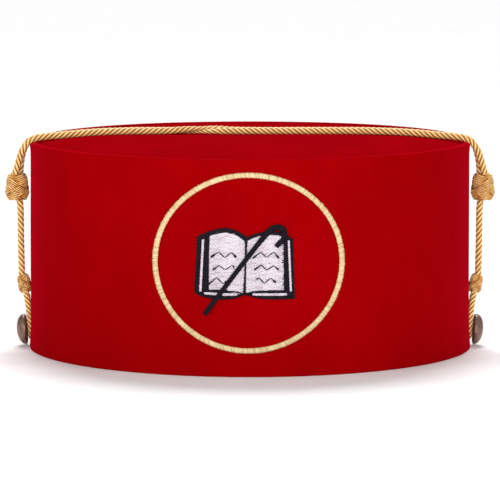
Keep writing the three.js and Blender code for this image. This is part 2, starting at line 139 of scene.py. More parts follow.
class Weave:
    """Grids of points gathered into one mesh, with their faces, UVs and point values."""

    def __init__(self):
        self.points, self.uvs, self.faces, self.slots = [], [], [], []
        self.values = {}
        self.count = 0

    def grid(self, points, close_u=False, close_v=False, cap_u=False, uv=None, slot=0, **values):
        """Adds points[..., u, v, 3] as quads between neighbours; leading axes are separate grids.

        u to v turns anticlockwise as seen from outside. close joins the last row to the first,
        and cap_u closes the two u ends with one face each.
        """
        lead = points.shape[:-3]
        nu, nv = points.shape[-3:-1]
        number = int(np.prod(lead, dtype=int))
        index = np.arange(number * nu * nv).reshape(number, nu, nv) + self.count
        here_u = index if close_u else index[:, :-1]
        next_u = np.roll(index, -1, 1) if close_u else index[:, 1:]

        def step_v(rows):
            return (rows, np.roll(rows, -1, 2)) if close_v else (rows[:, :, :-1], rows[:, :, 1:])

        a, d = step_v(here_u)
        b, c = step_v(next_u)
        quads = np.stack([a, b, c, d], -1).reshape(-1, 4)
        self._faces(quads, slot)
        if cap_u:
            self._faces(index[:, 0, :], slot)
            self._faces(index[:, -1, ::-1], slot)
        self.points.append(points.reshape(-1, 3))
        uv = np.zeros(points.shape[:-1] + (2,)) if uv is None else np.broadcast_to(uv, points.shape[:-1] + (2,))
        self.uvs.append(uv.reshape(-1, 2))
        for name, value in values.items():
            spread = np.broadcast_to(value, points.shape[:-1]).reshape(-1)
            self.values.setdefault(name, []).append((self.count, spread))
        self.count += number * nu * nv
        return self

    def _faces(self, faces, slot):
        self.faces.append(faces)
        self.slots.append(np.full(len(faces), slot))

    def build(self, name, materials, record_slot, replaces=()):
        """Makes the object and puts it on the cap's body; record_slot, for what the object stands for, is not
        used.
        """
        points = np.concatenate(self.points) * MM
        loops = np.concatenate([f.reshape(-1) for f in self.faces])
        sizes = np.concatenate([np.full(len(f), f.shape[1]) for f in self.faces])
        mesh = bpy.data.meshes.new(name)
        mesh.vertices.add(len(points))
        mesh.vertices.foreach_set("co", points.reshape(-1))
        mesh.loops.add(len(loops))
        mesh.loops.foreach_set("vertex_index", loops)
        mesh.polygons.add(len(sizes))
        mesh.polygons.foreach_set("loop_start", np.concatenate([[0], np.cumsum(sizes)[:-1]]))
        mesh.polygons.foreach_set("loop_total", sizes)
        mesh.polygons.foreach_set("material_index", np.concatenate(self.slots))
        mesh.polygons.foreach_set("use_smooth", np.ones(len(sizes), bool))
        mesh.uv_layers.new(name="UVMap").data.foreach_set("uv", np.concatenate(self.uvs)[loops].reshape(-1))
        for key, pieces in self.values.items():
            full = np.zeros(len(points), np.float32)
            for start, value in pieces:
                full[start:start + len(value)] = value
            mesh.attributes.new(key, "FLOAT", "POINT").data.foreach_set("value", full)
        mesh.update(calc_edges=True)
        for material in materials:
            mesh.materials.append(material)
        piece = bpy.data.objects.new(name, mesh)
        bpy.context.scene.collection.objects.link(piece)
        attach(piece, "root")
        if replaces:
            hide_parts(*replaces)
        return piece


def unit(vectors):
    """Vectors divided by their lengths."""
    return vectors / np.linalg.norm(vectors, axis=-1, keepdims=True)


def bell(distance, spread):
    """Bell curve: e to the minus square of the distance over the spread."""
    return np.exp(-(distance / spread) ** 2)


def run_along(points):
    """Distance run along a line of points, from its first one."""
    return np.concatenate([[0], np.cumsum(np.linalg.norm(np.diff(points, axis=0), axis=1))])


def smooth_line(points, count):
    """count points, evenly spaced, on a smooth line through the given ones.

    Cubic pieces over the square root of chord length, the slope at each point taken from its neighbours.
    """
    points = np.asarray(points, float)
    chord = np.linalg.norm(np.diff(points, axis=0), axis=1)
    knots = np.concatenate([[0], np.cumsum(np.sqrt(chord))])
    slope = np.gradient(points, knots, axis=0)
    at = np.linspace(0, knots[-1], 40 * len(points))
    i = np.clip(np.searchsorted(knots, at, side="right") - 1, 0, len(points) - 2)
    width = knots[i + 1] - knots[i]
    t = ((at - knots[i]) / width)[:, None]
    width = width[:, None]
    dense = ((1 + 2 * t) * (1 - t) ** 2 * points[i] + t * (1 - t) ** 2 * width * slope[i]
             + t ** 2 * (3 - 2 * t) * points[i + 1] + t ** 2 * (t - 1) * width * slope[i + 1])
    run = run_along(dense)
    even = np.linspace(0, run[-1], count)
    return np.stack([np.interp(even, run, column) for column in dense.T], -1)


def line_length(points):
    """Length of a line of points."""
    return float(np.linalg.norm(np.diff(points, axis=0), axis=1).sum())


def frames_along(line, reference):
    """Normal nearest the reference direction, and the tangent crossed with it, at each point of a line."""
    tangent = unit(np.gradient(line, axis=-2))
    normal = unit(reference - (tangent * reference).sum(-1, keepdims=True) * tangent)
    return normal, np.cross(tangent, normal)


# The velvet walls

def plan_at(z):
    """Half width, half depth and exponent of the plan at a height, mixed from bottom to top."""
    k = np.clip(np.asarray(z, float) / BAND_HEIGHT, 0, 1)
    return tuple(BAND_BOTTOM[key] + (BAND_TOP[key] - BAND_BOTTOM[key]) * k
                 for key in ("half_width", "half_depth", "exponent"))


def plan_normal(x, y, plan):
    """Outward normal of the superellipse |x/a|^n + |y/b|^n = 1 at a point of it."""
    a, b, n = plan
    nx = np.sign(x) * np.abs(x / a) ** (n - 1) / a
    ny = np.sign(y) * np.abs(y / b) ** (n - 1) / b
    length = np.hypot(nx, ny)
    return nx / length, ny / length


def plan_point(angle, z, inset):
    """Point of the plan at an angle, moved inward along its normal."""
    a, b, n = plan = plan_at(z)
    x = a * np.sign(np.cos(angle)) * np.abs(np.cos(angle)) ** (2 / n)
    y = b * np.sign(np.sin(angle)) * np.abs(np.sin(angle)) ** (2 / n)
    nx, ny = plan_normal(x, y, plan)
    return x - nx * inset, y - ny * inset


def front(x, z, lift):
    """Point on the front of the band at x and z, lifted off the velvet, and the outward normal there."""
    a, b, n = plan = plan_at(z)
    y = -b * (1 - np.abs(x / a) ** n) ** (1 / n)
    nx, ny = plan_normal(x, y, plan)
    point = np.stack([x + nx * lift, y + ny * lift, z + 0 * x], -1)
    return point, np.stack([nx, ny, 0 * nx], -1)


def rim_dip(y):
    """How far the rim gives way under the cords, a bell curve across the depth."""
    return DIP_DEPTH * bell(y, DIP_SPREAD)


def velvet_band(velvet_and_cloth):
    """The wall: an upright section with a folded rim and a turned hem, carried round the plan.

    The rim's fold stands out a little as a lip and the hem flares a little, each a bell curve of the height.
    The wall gives way in a pocket behind each button and its cord, waves a little with low sines as soft
    cloth does, stands slightly higher round the back and has a sewn seam there as a narrow valley.
    """
    turns, outer_rows, inner_rows, rim_rows, hem_rows, fold_rows = 480, 62, 26, 15, 11, 3
    outer_z = np.linspace(HEM_RADIUS, BAND_HEIGHT - RIM_RADIUS, outer_rows)
    inner_z = np.linspace(BAND_HEIGHT - RIM_RADIUS, HEM_RADIUS, inner_rows)
    rim = np.linspace(0, np.pi, rim_rows)[1:-1]
    hem = np.linspace(np.pi, 0, hem_rows)[1:-1]

    def turned(turn):
        return BAND_WALL / 2 * (1 - np.sign(np.cos(turn)) * np.abs(np.cos(turn)) ** SQUARE_TURN)

    rim_z = BAND_HEIGHT - RIM_RADIUS * (1 - np.sin(rim) ** SQUARE_TURN)
    hem_z = HEM_RADIUS * (1 - np.sin(hem) ** SQUARE_TURN)
    z = np.concatenate([outer_z, rim_z, inner_z, hem_z])
    inset = np.concatenate([0 * outer_z, turned(rim), 0 * inner_z + BAND_WALL, turned(hem)])
    spread = RIM_LIP * bell(BAND_HEIGHT - z, LIP_SPREAD) + HEM_FLARE * bell(z, FLARE_SPREAD)
    inset = inset - spread * (1 - inset / BAND_WALL)
    angle = np.linspace(0, TAU, turns, endpoint=False)[:, None]
    rise = z[None, :] / BAND_HEIGHT
    waves = WIDE_WAVE * np.sin(3 * angle + 0.6) + NARROW_WAVE * np.sin(7 * angle + 2 * rise + 1.7)
    swell = np.sin(np.pi * rise) * waves
    back = np.abs(angle - np.pi / 2) * BAND_TOP["half_width"]
    seam = SEAM_DEPTH * bell(back, SEAM_HALF) - RIDGE_HEIGHT * bell(back - RIDGE_PLACE, RIDGE_HALF)
    x, y = plan_point(angle, z[None, :], inset[None, :] + swell + seam)
    above = (z - BUTTON_HEIGHT) / np.where(z > BUTTON_HEIGHT, POCKET_UP, POCKET_DOWN)
    x = x - np.sign(x) * POCKET_DEPTH * np.exp(-(y / POCKET_HALF) ** 4 - 0.5 * above ** 2)
    behind = np.clip(np.sin(angle), 0, 1) * (RISE_BEHIND + RISE_TO_SIDES * np.cos(angle) ** 2)
    height = z + (BACK_RISE * behind - rim_dip(y)) * rise ** DIP_BAND_POWER
    points = np.stack([x, y, height + 0 * x], -1)
    run = np.concatenate([[0], np.cumsum(np.hypot(np.diff(z), np.diff(inset)))])
    uv = np.stack(np.broadcast_arrays(angle / TAU * BAND_GIRTH, run[None, :]), -1)
    wall = Weave().grid(points, close_u=True, close_v=True, uv=uv)
    inside = np.zeros(len(z), int)
    inside[len(outer_z) + len(rim_z) + fold_rows:-len(hem)] = 1
    wall.slots = [np.broadcast_to(inside, (turns, len(z))).reshape(-1)]
    return wall.build("velvet_band", velvet_and_cloth, "velvet", ["side_band"])


def velvet_top(velvet_and_cloth):
    """The top panel: a low dome, z = rise (1 - r^5), over rings of the plan, and its underside below it.

    Its edge rolls down into the crease behind the rim, it dips under the cords and waves a little with sines.
    """
    turns, dome_rings, edge_rings = 360, 34, 16
    first_ring, dome_end, edge_start = 0.004, 0.9, 0.91
    ring = np.concatenate([np.linspace(first_ring, dome_end, dome_rings),
                           np.linspace(edge_start, 1, edge_rings)])
    angle = np.linspace(0, TAU, turns, endpoint=False)[:, None]
    edge_x, edge_y = plan_point(angle, PANEL_EDGE, BAND_WALL - PANEL_TUCK)

    def face(drop):
        x, y = edge_x * ring, edge_y * ring
        dip = rim_dip(y) * ring ** DIP_PANEL_POWER * np.cos(angle) ** 2
        roll = ROLL_DROP * np.clip((ring - ROLL_START) / ROLL_WIDTH, 0, 1) ** 2
        z = PANEL_EDGE + PANEL_RISE * (1 - ring ** PANEL_POWER) - dip - roll
        round_wave = DRAPE_ROUND * np.sin(2 * angle + 0.4) * np.sin(np.pi * ring)
        drape = round_wave + DRAPE_RIPPLE * np.sin(x / RIPPLE_X) * np.cos(y / RIPPLE_Y)
        return np.stack([x, y, z + drape - drop], -1)

    rows = np.concatenate([face(PANEL_THICKNESS), face(0)[:, ::-1]], 1).transpose(1, 0, 2)
    panel = Weave().grid(rows, close_v=True, cap_u=True, uv=rows[..., :2])
    panel.faces = [faces[:, ::-1] for faces in panel.faces]
    panel.slots[0] = np.repeat(np.arange(len(rows) - 1) < len(ring) - 1, turns).astype(int)
    panel.slots[1] = np.ones(1, int)
    return panel.build("velvet_top", velvet_and_cloth, "velvet", ["top_panel"])


# Cords and knots

def rope(weave, line, diameter, hand, reference, squeeze=1.0):
    """A laid cord: round plies wound round a line, each ply a tube whose middle turns about the line.

    hand is 1 or -1 for the way of the twist, squeeze flattens the section along the frame's third axis.
    """
    run = run_along(line)
    normal, across = frames_along(line, np.array(reference, float))
    radius = FULLNESS * diameter / 2
    ply = radius * PLY_SHARE
    arm = radius - ply
    turn = hand * TAU * run / (LAY_PER_DIAMETER * diameter)
    start = np.arange(PLIES) * TAU / PLIES
    wind = start[:, None, None] + turn[None, :, None]
    ring = np.linspace(0, TAU, PLY_SIDES, endpoint=False)[None, None, :]
    outward = arm + ply * np.cos(ring)
    sideways = PLY_BREADTH * ply * np.sin(ring)
    first = outward * np.cos(wind) - sideways * np.sin(wind)
    second = (outward * np.sin(wind) + sideways * np.cos(wind)) * np.reshape(squeeze, (1, -1, 1))
    points = (line[None, :, None, :] + first[..., None] * normal[None, :, None, :]
              + second[..., None] * across[None, :, None, :])
    uv = np.stack(np.broadcast_arrays(run[None, :, None], start[:, None, None] + ring / TAU), -1)
    # rise is the distance from the cord's axis over its radius; gold_cord turns it into painted shade in the
    # grooves and a painted highlight on the crowns
    rise = np.hypot(outward, sideways) / radius
    shade = rng.uniform(0, 1, (PLIES, 1, 1))
    return weave.grid(points, close_v=True, cap_u=True, uv=uv, rise=rise, shade=shade)


def side_route(rows, sign):
    """A route's rows placed on one side of the cap."""
    return np.array(rows, float) * (sign, 1, 1)


def over_line(name):
    """The cord's route from its own knot, over the top and down to the other side's knot.

    The two cords change places quickly, by a hyperbolic tangent of their depth. On the top the line settles
    onto the velvet, and at the crossing its hump is lowered, the cord below drops and both are squeezed flat.
    """
    sign = SIDES[name]
    crossing = np.array(LEFT_CROSSING if name == "left" else RIGHT_CROSSING, float)
    route = np.concatenate([side_route(OWN_RISE, sign), crossing, side_route(GUEST_FALL, -sign)])
    line = smooth_line(route, 820)
    line[:, 1] = SIDE_BY_SIDE * np.tanh(QUICK_SWAP * line[:, 1] / SIDE_BY_SIDE) / np.tanh(QUICK_SWAP)
    z = line[:, 2]
    on_top = np.clip((z - RIM_LEVEL) / RIM_BLEND, 0, 1)
    hump = np.clip(z - TOP_OF_ROUTE, 0, None)
    near = bell(line[:, 0] - CROSSING_X, CROSSING_REACH)
    under = UNDER_DROP * near * (name == "right")
    line[:, 2] = z - hump * (1 - HUMP_SHARE) - SETTLE * on_top - under
    squeeze = 1 - CROSSING_FLAT * near
    return line, squeeze


def lengthen(line, start, end):
    """The line with its two ends carried straight on by these lengths, into the knots."""
    head = line[0] + unit(line[0] - line[1]) * start
    tail = line[-1] + unit(line[-1] - line[-2]) * end
    return np.concatenate([[head], line, [tail]])


def crossing_cord(name, gold):
    """One of the two cords that lie side by side over the top."""
    line, squeeze = over_line(name)
    line = lengthen(line, CROSSING_INTO_KNOT, CROSSING_INTO_KNOT)
    weave = Weave()
    rope(weave, line, CORD_DIAMETER, SIDES[name], (0, 1, 0), np.pad(squeeze, 1, mode="edge"))
    piece = weave.build(f"crossing_cord_{name}", [gold], "gold_cord", [f"over_cord_{name}"])
    return piece, line


def hanging_cord(name, gold):
    """The single cord between the two knots of one side."""
    route = smooth_line(side_route(LOWER_ROUTE, SIDES[name]), 120)
    line = smooth_line(lengthen(route, HANGING_INTO_BIG, HANGING_INTO_SMALL), 130)
    weave = Weave()
    rope(weave, line, CORD_DIAMETER, SIDES[name], (0, 1, 0))
    piece = weave.build(f"hanging_cord_{name}", [gold], "gold_cord", [f"lower_cord_{name}"])
    return piece, line


def eye_cord(name, gold):
    """The loop of cord that hangs from the small knot round the button's shank."""
    route = smooth_line(side_route(EYE_ROUTE, SIDES[name]), 150)
    line = smooth_line(lengthen(route, EYE_INTO_KNOT, EYE_INTO_KNOT), 160)
    weave = Weave()
    rope(weave, line, EYE_CORD_DIAMETER * EYE_FULLNESS, SIDES[name], (1, 0, 0))
    return weave.build(f"eye_cord_{name}", [gold], "gold_cord", [f"cord_eye_{name}"])


KNOTS = dict(
    big=dict(middle=(98.85, 0.0, 67.85), half=5.65, radius=5.0, lean=0.0, threads=5),
    small=dict(middle=(95.95, 0.0, 26.55), half=3.95, radius=3.0, lean=0.26, threads=4),
)
LEADS, BIGHTS = 5, 4
WEAVE_START = 0.9
# Shares of the barrel's radius, of the band's width, of one thread's width and of the barrel's half height
BAND_OF_RADIUS, LAYER_OF_RADIUS = 0.8, 0.08
EDGE_OF_BAND = 0.42
LAYER_OF_THREAD, BOW_OF_THREAD = 0.3, 0.3
BARREL_TAPER, END_TURN = 0.2, 0.9
CORE_OF_RADIUS, CORE_OF_HALF, CORE_END = 0.78, 0.86, 0.03
# Point value of a knot's thread, as a cord's own rise, which gold_cord turns into painted light: between runs
# (painted shade), over against under (painted shade under the crossings), and crown (painted highlight)
KNOT_RISE, RISE_OVER, RISE_CROWN = 0.36, 0.05, 0.61
# The knot's core takes the cord's darkest groove colour, as painted shade inside the knot
CORE_SHADE_RISE = 0.3
FILAMENTS_PER_THREAD = 0.15


def turks_head(size, side, gold):
    """A woven knot: one band of parallel threads that winds five times round a barrel.

    The band swings from edge to edge four times in its five turns, z = h cos(4t/5), and its radius
    goes over and under with sin(16t/5), so that each crossing has one run above and one below.
    The barrel leans out at the top, and the two sides of the cap mirror each other.
    """
    knot = KNOTS[size]
    radius, half, threads, sign = knot["radius"], knot["half"], knot["threads"], SIDES[side]
    steps, thread_sides, core_rows, core_sides = 760, 8, 15, 28
    band = BAND_OF_RADIUS * radius
    width = band / threads
    thick = width / 2
    layer = LAYER_OF_THREAD * width + LAYER_OF_RADIUS * radius
    t = np.linspace(0, TAU * LEADS, steps, endpoint=False)
    phase = BIGHTS * t / LEADS + WEAVE_START
    z = (half - EDGE_OF_BAND * band) * np.cos(phase)
    barrel = (radius - thick - layer) * (1 - BARREL_TAPER * np.abs(z / half) ** 4)
    over = np.sin((LEADS - 1) * phase)
    r = barrel + layer * over
    line = np.stack([r * np.cos(t), r * np.sin(t), z], -1)
    swell = np.stack([np.cos(t), np.sin(t), END_TURN * np.sign(z) * np.abs(z / half) ** 2], -1)
    tangent = unit(np.roll(line, -1, 0) - np.roll(line, 1, 0))
    outward = unit(swell - (swell * tangent).sum(-1, keepdims=True) * tangent)
    across = np.cross(tangent, outward)
    number = np.arange(threads)
    place = (number - (threads - 1) / 2) * width
    bow = -BOW_OF_THREAD * (np.abs(place) / (band / 2)) ** 2 * width
    centre = line[None] + place[:, None, None] * across[None] + bow[:, None, None] * outward[None]
    ring = np.linspace(0, TAU, thread_sides, endpoint=False)
    points = (centre[:, :, None, :] + thick * np.cos(ring)[None, None, :, None] * outward[None, :, None, :]
              - thick * np.sin(ring)[None, None, :, None] * across[None, :, None, :])
    around = FILAMENTS_PER_THREAD * (number[:, None, None] + ring / TAU)
    uv = np.stack(np.broadcast_arrays(run_along(line)[None, :, None], around), -1)
    # Painted light: each thread darker at its sides and where it runs under, lighter on its crown
    rise = KNOT_RISE + RISE_OVER * over[None, :, None] + RISE_CROWN * np.cos(ring)[None, None, :]
    shade = rng.uniform(0, 1, (threads, 1, 1))
    # A dark core inside the barrel: painted shade where the knot's inside shows between its threads
    core_z = np.linspace(1, -1, core_rows)
    core_r = CORE_OF_RADIUS * radius * np.sqrt(np.clip(1 - np.abs(core_z) ** 3, CORE_END, 1))
    turn = np.linspace(0, TAU, core_sides, endpoint=False)
    core = np.stack(np.broadcast_arrays(core_r[:, None] * np.cos(turn), core_r[:, None] * np.sin(turn),
                                        CORE_OF_HALF * half * core_z[:, None]), -1)

    def stand(local):
        lean_out, lean_up = np.sin(knot["lean"]), np.cos(knot["lean"])
        out = local[..., 0] * lean_up + local[..., 2] * lean_out
        up = local[..., 2] * lean_up - local[..., 0] * lean_out
        placed = np.stack([sign * (out + knot["middle"][0]), local[..., 1], up + knot["middle"][2]], -1)
        return placed if sign > 0 else placed[..., ::-1, :]

    weave = Weave()
    rise = rise if sign > 0 else rise[..., ::-1]
    weave.grid(stand(points), close_u=True, close_v=True, uv=uv, rise=rise, shade=shade)
    weave.grid(stand(core), close_v=True, cap_u=True, rise=CORE_SHADE_RISE, shade=0.5)
    return weave.build(f"{size}_turks_head_{side}", [gold], "gold_cord", [f"{size}_knot_{side}"])


# Buttons

def dome_button(name, brass):
    """A hollow brass button on a shank: a profile of radius against distance, carried round the axis.

    The face is a dome, the edge a tight quarter turn, the back a shallow shell down to the shank.
    The whole button leans a little with its height, so that it hangs face down.
    """
    sign = SIDES[name]
    face_rows, tuck_rows, sides = 26, 12, 72
    foot = BAND_BOTTOM["half_width"] - POCKET_DEPTH - SHANK_SINK
    swing = np.linspace(0, np.pi / 2, face_rows)
    face_r = BUTTON_RADIUS * np.cos(swing) ** DOME_POWER
    face_x = BUTTON_EDGE + (BUTTON_APEX - BUTTON_EDGE) * np.sin(swing)
    tuck = np.linspace(-np.pi / 2, 0, tuck_rows)[:-1]
    tuck_r = BUTTON_RADIUS - TUCK_DEPTH * (1 - np.cos(tuck))
    tuck_x = BUTTON_EDGE + (BUTTON_EDGE - BUTTON_BACK) * np.sin(tuck)
    shank_r = np.array([POLE_RADIUS, SHANK_RADIUS, SHANK_RADIUS, SHANK_TOP_RADIUS, SHANK_FLARE])
    shank_x = np.array([foot, foot, foot + SHANK_RUN, BUTTON_BACK - FLARE_RUN, BUTTON_BACK])
    r = np.concatenate([shank_r, tuck_r, face_r[:-1], [POLE_RADIUS]])
    x = np.concatenate([shank_x, tuck_x, face_x[:-1], [BUTTON_APEX]])
    turn = np.linspace(0, TAU, sides, endpoint=False)
    points = np.stack(np.broadcast_arrays(sign * x[:, None], r[:, None] * np.cos(turn),
                                          BUTTON_HEIGHT + r[:, None] * np.sin(turn)), -1)
    # edge runs from 0 at the back to 1 at the apex; antique_brass paints a highlight with it
    edge = np.clip((x - BUTTON_BACK) / (BUTTON_APEX - BUTTON_BACK), 0, 1)
    points = points[::-1, ::-1] if sign < 0 else points[::-1]
    points[..., 0] += sign * BUTTON_DROOP * (points[..., 2] - BUTTON_HEIGHT)
    weave = Weave().grid(points, close_v=True, cap_u=True, edge=edge[::-1, None])
    return weave.build(f"dome_button_{name}", [brass], "antique_brass", [f"button_{name}"])


# The stitched badge

STITCH_POINTS, STITCH_SIDES = 7, 6
ARCH_START, ARCH_SPAN, ARCH_POWER = 0.04, 0.92, 0.55
UNEVEN_LIFT, UNEVEN_WIDTH = 0.025, (0.85, 1.15)
TAPER_END, TAPER_GAIN = 0.45, 0.55
THREAD_FLATNESS = 0.75
PAD_THICKNESS, PAD_SHARE, PAD_SINK = 0.22, 0.86, 0.1
SLANT_OF_PITCH = 0.4
RING_COUNT, RING_PAD_ROWS = 620, 5
RING_PAD_INSET, RING_PAD_LIFT, RING_PAD_BULGE, RING_PAD_UNDER, RING_PAD_SHADE = 0.12, 0.3, 0.28, 0.02, 0.35
RING_LIFT, RING_CROWN, RING_LEAN, RING_UNEVEN = 0.22, 0.5, 0.16, 0.07


def stitches(weave, start, end, lift, crown, width, uneven=0.0):
    """Threads from start to end points [n, 2] of x and z on the front of the band.

    Each is a flat oval tube that leaves the cloth at one end, arches by crown and dives at the other.
    """
    count = len(start)
    start = start + rng.normal(0, uneven, start.shape)
    end = end + rng.normal(0, uneven, end.shape)
    t = np.linspace(0, 1, STITCH_POINTS)
    flat = start[:, None] + (end - start)[:, None] * t[None, :, None]
    arch = np.sin(np.pi * (ARCH_START + ARCH_SPAN * t)) ** ARCH_POWER
    rise = lift + crown * arch[None, :] + rng.normal(0, UNEVEN_LIFT, (count, 1))
    line, outward = front(flat[..., 0], flat[..., 1], rise)
    tangent = unit(np.gradient(line, axis=1))
    across = unit(np.cross(tangent, outward))
    ring = np.linspace(0, TAU, STITCH_SIDES, endpoint=False)
    thick = width * rng.uniform(*UNEVEN_WIDTH, (count, 1, 1, 1)) / 2
    taper = (TAPER_END + TAPER_GAIN * np.sin(np.pi * t) ** 0.5)[None, :, None, None]
    flat_ring, deep_ring = np.cos(ring)[None, None, :, None], np.sin(ring)[None, None, :, None]
    points = (line[:, :, None] + across[:, :, None] * thick * taper * flat_ring
              + outward[:, :, None] * THREAD_FLATNESS * thick * taper * deep_ring)
    span = np.linalg.norm(end - start, axis=1)[:, None, None]
    uv = np.stack(np.broadcast_arrays(span * t[None, :, None], (ring / TAU)[None, None, :]), -1)
    weave.grid(points, close_v=True, cap_u=True, uv=uv, shade=rng.uniform(0, 1, (count, 1, 1)))
    return weave


def patch(weave, low_edge, high_edge, lift, rows, thickness=PAD_THICKNESS):
    """A thin closed pad on the front of the band between two lines of x and z, under the threads."""
    mix = np.linspace(0, 1, rows)[None, :, None]
    flat = low_edge[:, None] * (1 - mix) + high_edge[:, None] * mix
    top, _ = front(flat[..., 0], flat[..., 1], lift + 0 * flat[..., 0])
    under, _ = front(flat[..., 0], flat[..., 1], lift - thickness + 0 * flat[..., 0])
    loop = np.concatenate([top, under[:, ::-1]], 1)
    return weave.grid(loop, close_v=True, cap_u=True, shade=0.5)


def stroke(weave, points, width, lift, crown=0.22, pitch=0.36, ragged=0.05, thread=THREAD):
    """Satin stitch along a line: threads laid side by side across it over a pad.

    width is one value, or several that are spread evenly from the line's start to its end.
    """
    length = line_length(smooth_line(points, 60))
    count = max(6, int(length / pitch))
    line = smooth_line(points, count)
    along = unit(np.gradient(line, axis=0))
    left = np.stack([-along[:, 1], along[:, 0]], -1)
    widths = np.interp(np.linspace(0, 1, count), np.linspace(0, 1, np.size(width)), np.ravel(width))
    half = widths[:, None] / 2
    patch(weave, line - left * half * PAD_SHARE, line + left * half * PAD_SHARE, lift, rows=3)
    order = np.where(np.arange(count) % 2, 1, -1)[:, None]
    slant = along * pitch * SLANT_OF_PITCH
    stitches(weave, line - order * left * half - slant, line + order * left * half + slant,
             lift - PAD_SINK, crown, thread, ragged)
    return weave


def ring_stitches(thread):
    """The ring: radial satin stitch round an oval, over a pad whose section bulges by half a sine."""
    angle = np.linspace(0, TAU, RING_COUNT, endpoint=False)
    middle, half = np.array(RING_MIDDLE), np.array(RING_HALF)
    way = np.stack([np.cos(angle), np.sin(angle)], -1)
    outer, inner = middle + way * half, middle + way * (half - RING_STROKE)
    inset = way * RING_PAD_INSET
    mix = np.linspace(0, 1, RING_PAD_ROWS)
    flat = (outer - inset)[:, None] * (1 - mix[None, :, None]) + (inner + inset)[:, None] * mix[None, :, None]
    bulge = RING_PAD_LIFT + RING_PAD_BULGE * np.sin(np.pi * mix)[None, :] + 0 * flat[..., 0]
    top, _ = front(flat[..., 0], flat[..., 1], bulge)
    under, _ = front(flat[..., 0], flat[..., 1], RING_PAD_UNDER + 0 * flat[..., 0])
    loop = np.concatenate([top, under[:, ::-1]], 1)
    weave = Weave().grid(loop, close_u=True, close_v=True, shade=RING_PAD_SHADE)
    lean = np.stack([-np.sin(angle), np.cos(angle)], -1) * RING_LEAN
    stitches(weave, inner - lean, outer + lean, RING_LIFT, RING_CROWN, THREAD, RING_UNEVEN)
    return weave.build("ring_stitches", [thread], "gold_thread", ["badge_ring"])


# Lines of the book and the crook, as x and z on the front
LEFT_HEAD = [
    (-20.9, 56.0), (-18.6, 57.1), (-16.0, 58.1), (-12.8, 59.0), (-9.4, 59.4), (-5.0, 58.2), (-1.6, 55.8),
]
RIGHT_HEAD = [(-1.6, 55.8), (2.3, 57.4), (6.3, 58.2), (10.6, 58.2), (14.0, 57.1), (17.0, 55.1)]
LEFT_FOOT = [(-21.5, 34.1), (-18.6, 32.9), (-11.0, 32.0), (-5.3, 32.6), (-2.0, 33.9)]
RIGHT_FOOT = [(-2.0, 33.9), (2.3, 32.7), (7.7, 32.2), (12.5, 32.1), (17.8, 32.2)]
LEFT_PAGE_FOOT = [(-16.8, 35.0), (-11.0, 35.0), (-5.0, 34.4), (-2.2, 33.8)]
RIGHT_PAGE_FOOT = [(-2.0, 33.8), (1.0, 34.5), (4.2, 34.8), (9.5, 34.9), (15.0, 34.8)]
RAGGED_EDGE = [(14.1, 35.0), (13.6, 56.0)]
SPINE = [(-1.5, 55.6), (-1.8, 45.0), (-2.3, 33.8)]
COVER_BARS = [
    dict(line=[(-21.5, 34.2), (-20.4, 56.2)], width=1.7),
    dict(line=[(-18.0, 34.4), (-17.1, 57.0)], width=2.1),
    dict(line=[(14.8, 34.2), (14.3, 56.4)], width=1.5),
    dict(line=[(17.5, 32.4), (16.7, 55.4)], width=1.1),
]
WHITE_LINES = [
    dict(line=[(-19.9, 34.7), (-18.8, 55.4)], width=1.0),
    dict(line=[(16.4, 34.8), (15.5, 55.0)], width=0.9),
    dict(line=[(-18.2, 33.9), (-11.0, 33.5), (-5.4, 33.6)], width=1.1),
    dict(line=[(1.2, 33.6), (7.7, 33.5), (14.6, 33.5)], width=1.1),
]
CROOK_LINE = [
    (-18.0, 25.4), (-12.8, 32.7), (-1.7, 47.6), (6.2, 57.6), (8.6, 59.9), (11.2, 60.7), (13.2, 59.7),
    (13.9, 57.8), (13.3, 55.8), (11.9, 54.4), (10.5, 53.0),
]
WRITING = [
    [(-15.7, 48.5), (-12.5, 50.7), (-10.1, 48.4), (-7.4, 50.6), (-5.4, 48.5)],
    [(-15.0, 43.3), (-12.3, 45.3), (-10.0, 43.4), (-7.1, 45.4), (-6.3, 44.5)],
    [(-16.8, 37.3), (-13.4, 40.3), (-10.7, 37.8), (-9.3, 39.0)],
    [(1.0, 48.2), (4.3, 50.7), (6.6, 48.5), (9.5, 50.8), (11.5, 48.1)],
    [(1.6, 43.5), (4.5, 45.6), (6.6, 43.4), (9.5, 45.2), (11.5, 43.4)],
    [(2.5, 39.7), (3.6, 40.4), (5.7, 38.0), (8.2, 40.2), (10.4, 38.3)],
]
# Widths of satin stitch from a line's start to its end
LEFT_HEAD_WIDTHS, RIGHT_HEAD_WIDTH = [1.5, 2.0, 2.1, 2.0, 1.9], 1.5
LEFT_FOOT_WIDTHS, RIGHT_FOOT_WIDTHS = [1.1, 1.2, 1.3, 1.0, 0.7], [0.7, 1.0, 1.3, 1.2, 1.2]
PAGE_FOOT_WIDTH = 0.65
SPINE_WIDTHS = [1.3, 0.8, 0.7, 1.0, 1.2]
CROOK_WIDTHS = [2.1, 2.1, 2.1, 2.1, 2.1, 2.2, 2.6, 2.6, 2.2]
CROOK_CROWN = 0.34

